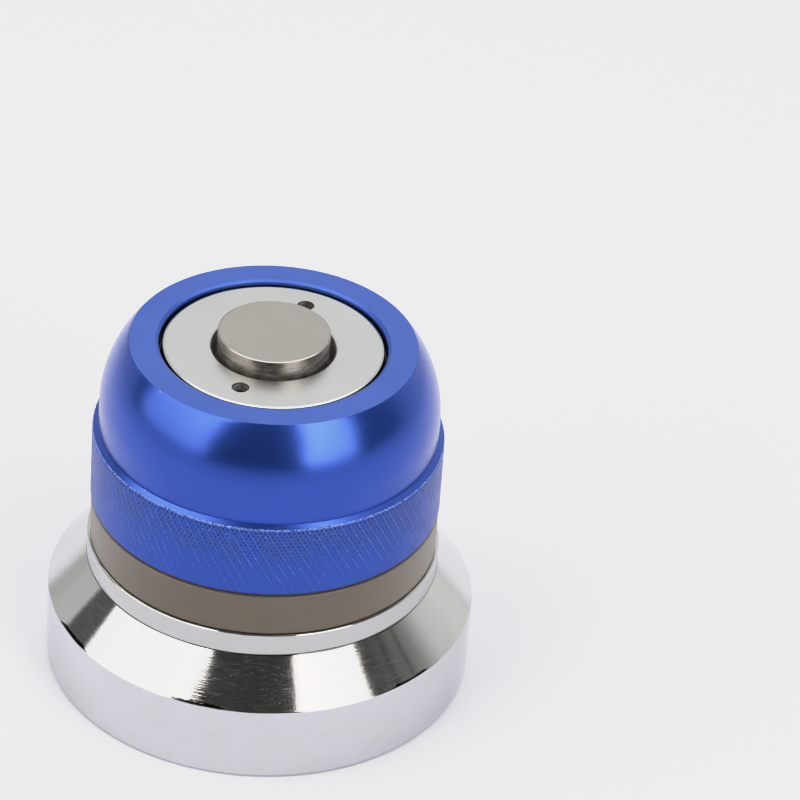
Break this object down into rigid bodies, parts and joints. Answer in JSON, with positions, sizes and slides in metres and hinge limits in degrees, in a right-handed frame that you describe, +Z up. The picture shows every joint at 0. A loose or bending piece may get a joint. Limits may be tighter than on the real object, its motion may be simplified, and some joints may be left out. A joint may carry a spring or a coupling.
{
  "type": "tool setter",
  "caption": "Round tool-length setter: sprung button in a knurled blue head, smoked lamp ring, wide chromed base.",
  "frame": {"origin": "middle of the resting face under the base", "axes": "+Z up along the button's travel, from the resting face to the measuring face"},
  "size_m": [0.056, 0.056, 0.05],
  "materials": {
    "chromed_steel": "bright chrome over a turned surface",
    "ground_steel": "fine ground, dull",
    "blue_anodised": "bright blue anodising, knurled grip",
    "smoked_plastic": "smoked clear plastic, lamps off",
    "black_plastic": "moulded, dull",
    "black_rubber": "smooth",
    "spring_steel": "drawn wire",
    "bronze": "turned or sprung strip",
    "board_green": "solder mask",
    "lamp_white": "moulded, clear top",
    "resistor_black": "ceramic chip",
    "cell_steel": "pressed can",
    "magnet_nickel": "nickel plate",
    "screw_steel": "zinc plate"
  },
  "bodies": {
    "base": {"base": "chromed_steel", "magnet": "magnet_nickel", "light_ring": "smoked_plastic", "ring_seal": "black_rubber", "battery_holder": "black_plastic", "button_cells": "cell_steel", "negative_contact": "bronze", "earth_strip": "bronze", "holder_screws": "screw_steel", "lamp_board": "board_green", "lamps": "lamp_white", "resistors": "resistor_black", "board_screws": "screw_steel"},
    "joint_washer": {"joint_washer": "black_plastic"},
    "head": {"sleeve": "blue_anodised", "cover_disc": "ground_steel", "guide_bush": "bronze", "main_spring": "spring_steel", "contact_spring": "spring_steel"},
    "button": {"button": "ground_steel"}
  },
  "joints": [
    {"name": "head_lift", "type": "slide", "parent": "base", "child": "joint_washer", "axis": [0, 0, 1], "range_m": [0, 0.005]},
    {"name": "head_turn", "type": "hinge", "parent": "joint_washer", "child": "head", "pos_m": [0, 0, 0.025], "axis": [0, 0, 1], "range_deg": [0, 1800]},
    {"name": "button_press", "type": "slide", "parent": "head", "child": "button", "axis": [0, 0, -1], "range_m": [0, 0.002], "stiffness_N_per_m": 1000, "springref_m": -0.003, "deforming": ["main_spring"]}
  ],
  "couplings": [
    {"joint": "head_lift", "follows": "head_turn", "m_per_rad": 0.00015915}
  ]
}
